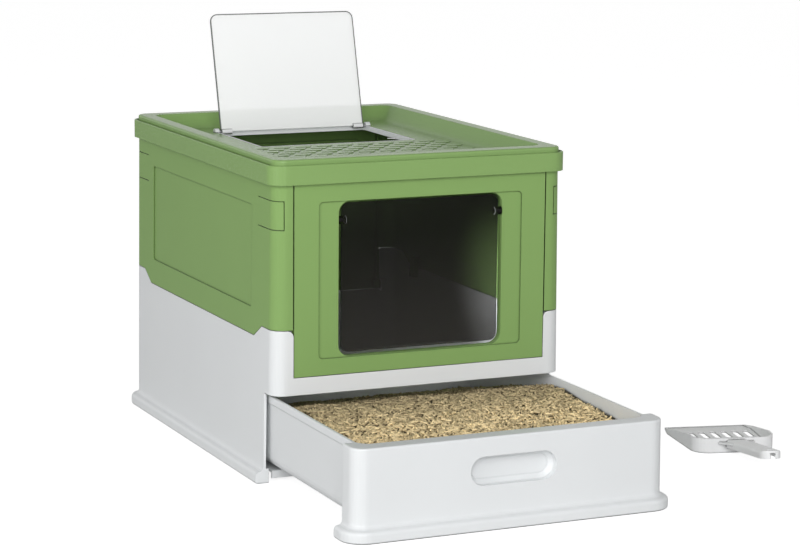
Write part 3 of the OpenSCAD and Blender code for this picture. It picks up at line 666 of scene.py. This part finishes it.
def litter_pellets(name, low, high, s, count, seed):
    """Pellets strewn over the bed: one in each cell of a jittered grid, lying down at random angles.

    Each keeps its highest point under the litter's height there and clear of the tub's walls. Its painted
    shade darkens it the deeper it is buried and the nearer it lies to the header."""
    rng = np.random.default_rng(seed)
    margin = s.length * 0.55
    wide, deep = high[0] - low[0] - 2 * margin, high[1] - low[1] - 2 * margin
    columns = int(math.sqrt(count * wide / deep))
    rows = count // columns
    cell = np.arange(rows * columns)
    x = low[0] + margin + wide * (cell % columns + rng.uniform(0, 1, cell.size)) / columns
    y = low[1] + margin + deep * (cell // columns + rng.uniform(0, 1, cell.size)) / rows
    middle = (low[0] + high[0]) / 2
    room = bed_halfwidth(y, low, high) - margin
    x = middle + np.clip(x - middle, -room, room)
    length = s.length * rng.uniform(*PELLET_LENGTHS, cell.size)
    radius = s.radius * rng.uniform(*PELLET_RADII, cell.size)
    tilt = np.clip(rng.normal(0, PELLET_TILT, cell.size), -PELLET_STEEPEST, PELLET_STEEPEST)
    points = pellet_points(length, radius)
    points = turn(points, 0, rng.uniform(0, 2 * math.pi, cell.size))
    points = turn(points, 1, tilt)
    points = turn(points, 2, rng.uniform(0, 2 * math.pi, cell.size))
    buried = rng.uniform(0, 1, cell.size) ** BURIED_POWER
    heap = LITTER_HEAP * bed_bumps(x, y, np.random.default_rng(s.seed))
    z = bed_height(y, low, high) - LITTER_SUNK * buried - heap - points[..., 2].max(1)
    points += np.stack([x, y, z], -1)[:, None, :]
    faces = pellet_faces(cell.size)
    obj = make_mesh(name, points.reshape(-1, 3), faces)
    per_pellet = len(faces) // cell.size
    smooth(obj, np.tile(np.arange(per_pellet) < PELLET_SIDES, cell.size))
    # Painted shade: pellets darken the deeper they are buried and the nearer they lie in front of the header
    full, ended = LITTER_SHADE
    open_air = np.clip((litter_crest() - y - full) / (ended - full), 0, 1)
    lit = SHADED_SHARE + (1 - SHADED_SHARE) * open_air
    tone_and_painted_shade = rng.uniform(*PELLET_SHADES, cell.size) * (1 - BURIED_LOSS * buried) * lit
    set_shade(obj, np.repeat(tone_and_painted_shade, points.shape[1]))
    return obj


# ---------------------------------------------------------------- operators


class OBJECT_OT_house_plastics(bpy.types.Operator):
    """Gives the white and green mouldings their finishes"""

    bl_idname = "object.house_plastics"
    bl_label = "Mouldings"

    def execute(self, context):
        p = context.scene.litter_house_plastics
        nodes = frame["nodes"]
        white = moulded_plastic("white_moulded", p.white, p, WHITE_SATIN)
        green = moulded_plastic("green_moulded", p.green, p, PANEL_SATIN)
        for name in WHITE_MOULDINGS:
            paint(nodes[name], white)
        for name in GREEN_MOULDINGS:
            paint(nodes[name], green)
        paint(nodes["lid"], moulded_plastic("green_lid", p.green, p, LID_SATIN))
        paint(nodes["scoop"], moulded_plastic("scoop_white", p.scoop, p, SCOOP_SATIN))
        return {"FINISHED"}


class OBJECT_OT_house_flaps(bpy.types.Operator):
    """Gives the two flaps and their pins their finishes"""

    bl_idname = "object.house_flaps"
    bl_label = "Flaps and pins"

    def execute(self, context):
        s = context.scene.litter_house_flaps
        nodes = frame["nodes"]
        paint(nodes["front_flap"], smoked_sheet("smoked_sheet_clear", s))
        paint(nodes["top_flap"], clear_sheet("milky_sheet_clear", s))
        steel = drawn_steel("pin_steel")
        paint(nodes["front_flap_pins"], steel)
        paint(nodes["top_flap_pins"], steel)
        return {"FINISHED"}


class OBJECT_OT_house_litter(bpy.types.Operator):
    """Fills the drawer with a bed of wood pellets"""

    bl_idname = "object.house_litter"
    bl_label = "Litter"

    def execute(self, context):
        s = context.scene.litter_house_litter
        low, high = (np.array(corner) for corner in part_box("litter_bed"))
        wood = pressed_wood("pressed_wood", s.colour, 1.0)
        bed = litter_bed(low, high, s)
        paint(bed, pressed_wood("pressed_wood_shaded", s.colour, SHEET_DIM))
        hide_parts("litter_bed")
        heaps = [
            litter_pellets(f"litter_pellets_{i + 1}", low, high, s, s.count // 2, s.seed + i)
            for i in range(2)
        ]
        for heap in heaps:
            paint(heap, wood)
        for piece in [bed, *heaps]:
            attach(piece, "drawer")
        return {"FINISHED"}


class OBJECT_OT_house_studio(bpy.types.Operator):
    """Sets up the camera, the pale floor and the soft lights"""

    bl_idname = "object.house_studio"
    bl_label = "Camera, floor and lights"

    def execute(self, context):
        s = context.scene.litter_house_studio
        self.camera(context)
        self.floor(context, s)
        self.surround(context, s)
        self.lamp(context, "key_light", KEY_PLACE, s.key)
        self.lamp(context, "strip_light", STRIP_PLACE, s.strip)
        inner = self.lamp(context, "inner_light", INNER_PLACE, s.inner)
        inner.data.spread = math.radians(INNER_SPREAD)
        return {"FINISHED"}

    def camera(self, context):
        """Looks at the target from the photograph's angle and distance."""
        back, right, up = directions(CAMERA_AZIMUTH, CAMERA_ELEVATION)
        r = math.radians(CAMERA_ROLL)
        data = bpy.data.cameras.new("camera")
        data.sensor_fit = "HORIZONTAL"
        data.sensor_width = CAMERA_SENSOR
        data.lens = CAMERA_LENS
        data.clip_end = 100.0
        camera = bpy.data.objects.new("camera", data)
        camera.matrix_world = placed(
            math.cos(r) * right + math.sin(r) * up,
            -math.sin(r) * right + math.cos(r) * up,
            back,
            np.array(CAMERA_TARGET) + CAMERA_DISTANCE * back,
        )
        context.scene.collection.objects.link(camera)
        context.scene.camera = camera

    def floor(self, context, s):
        """A pale floor that gives off a little light, and more of it to the camera alone."""
        half = s.floor_size / 2
        corners = np.array([(-half, -half, 0), (half, -half, 0), (half, half, 0), (-half, half, 0)])
        obj = make_mesh("studio_floor", corners, np.array([[0, 1, 2, 3]]))
        f = Finish("studio_floor_paint")
        seen = f.node("ShaderNodeLightPath", {}, {})[0]
        glow = seen * s.floor_white + s.floor_glow
        f.surface(
            Base_Color=(0.5, 0.5, 0.5, 1.0), Roughness=0.9, Specular_IOR_Level=0.1,
            Emission_Color=f.shade((1.0, 1.0, 1.0), glow), Emission_Strength=1.0,
        )
        obj.data.materials.append(f.material)

    def surround(self, context, s):
        """A sky that falls from the horizon's strength to the overhead one with the square of 1 - height."""
        world = bpy.data.worlds.new("studio_surround")
        world.use_nodes = True
        context.scene.world = world
        context.scene.view_settings.view_transform = "Standard"
        tree = Tree(world.node_tree)
        height = tree.node("ShaderNodeSeparateXYZ", {}, {0: tree.node("ShaderNodeTexCoord", {}, {})[0]})[2]
        open_sky = 1.0 - height.at_least(0.0)
        strength = open_sky * open_sky * (s.horizon - s.zenith) + s.zenith
        back = world.node_tree.nodes["Background"]
        back.inputs["Color"].default_value = (1.0, 1.0, 1.0, 1.0)
        tree.feed(back.inputs["Strength"], strength)

    def lamp(self, context, name, place, power):
        """A rectangular soft light aimed at the middle of the house, which the camera doesn't see."""
        azimuth, elevation, distance, width, height = place
        back, right, up = directions(azimuth, elevation)
        data = bpy.data.lights.new(name, "AREA")
        data.shape = "RECTANGLE"
        data.size, data.size_y = width, height
        data.energy = power
        lamp = bpy.data.objects.new(name, data)
        lamp.matrix_world = placed(right, up, back, np.array(LIGHT_TARGET) + distance * back)
        lamp.visible_camera = False
        context.scene.collection.objects.link(lamp)
        return lamp


def directions(azimuth, elevation):
    """Directions back, right and up of something that looks at the house from these angles."""
    a = math.radians(azimuth)
    e = math.radians(elevation)
    back = np.array([math.sin(a) * math.cos(e), -math.cos(a) * math.cos(e), math.sin(e)])
    right = np.array([math.cos(a), math.sin(a), 0.0])
    return back, right, np.cross(back, right)


def placed(x_axis, y_axis, z_axis, place):
    """A Blender matrix with these axes at this place."""
    rows = np.eye(4)
    rows[:3] = np.stack([x_axis, y_axis, z_axis, place], 1)
    return Matrix(rows.tolist())


# ---------------------------------------------------------------- add-on

STEPS = (
    ("litter_house_plastics", LitterHousePlastics, OBJECT_OT_house_plastics),
    ("litter_house_flaps", LitterHouseFlaps, OBJECT_OT_house_flaps),
    ("litter_house_litter", LitterHouseLitter, OBJECT_OT_house_litter),
    ("litter_house_studio", LitterHouseStudio, OBJECT_OT_house_studio),
)


class VIEW3D_PT_litter_house(bpy.types.Panel):
    """Lists the steps and their settings"""

    bl_label = "Litter house"
    bl_space_type = "VIEW_3D"
    bl_region_type = "UI"
    bl_category = "Litter house"

    def draw(self, context):
        for name, group, step in STEPS:
            part = self.layout.box()
            for key in group.__annotations__:
                part.prop(getattr(context.scene, name), key)
            part.operator(step.bl_idname)


def register():
    for name, group, step in STEPS:
        bpy.utils.register_class(group)
        bpy.utils.register_class(step)
        setattr(bpy.types.Scene, name, bpy.props.PointerProperty(type=group))
    bpy.utils.register_class(VIEW3D_PT_litter_house)


def unregister():
    bpy.utils.unregister_class(VIEW3D_PT_litter_house)
    for name, group, step in reversed(STEPS):
        delattr(bpy.types.Scene, name)
        bpy.utils.unregister_class(step)
        bpy.utils.unregister_class(group)


def main():
    """Builds everything."""
    register()
    bpy.ops.object.house_plastics()
    bpy.ops.object.house_flaps()
    bpy.ops.object.house_litter()
    bpy.ops.object.house_studio()


if __name__ == "__main__":
    main()
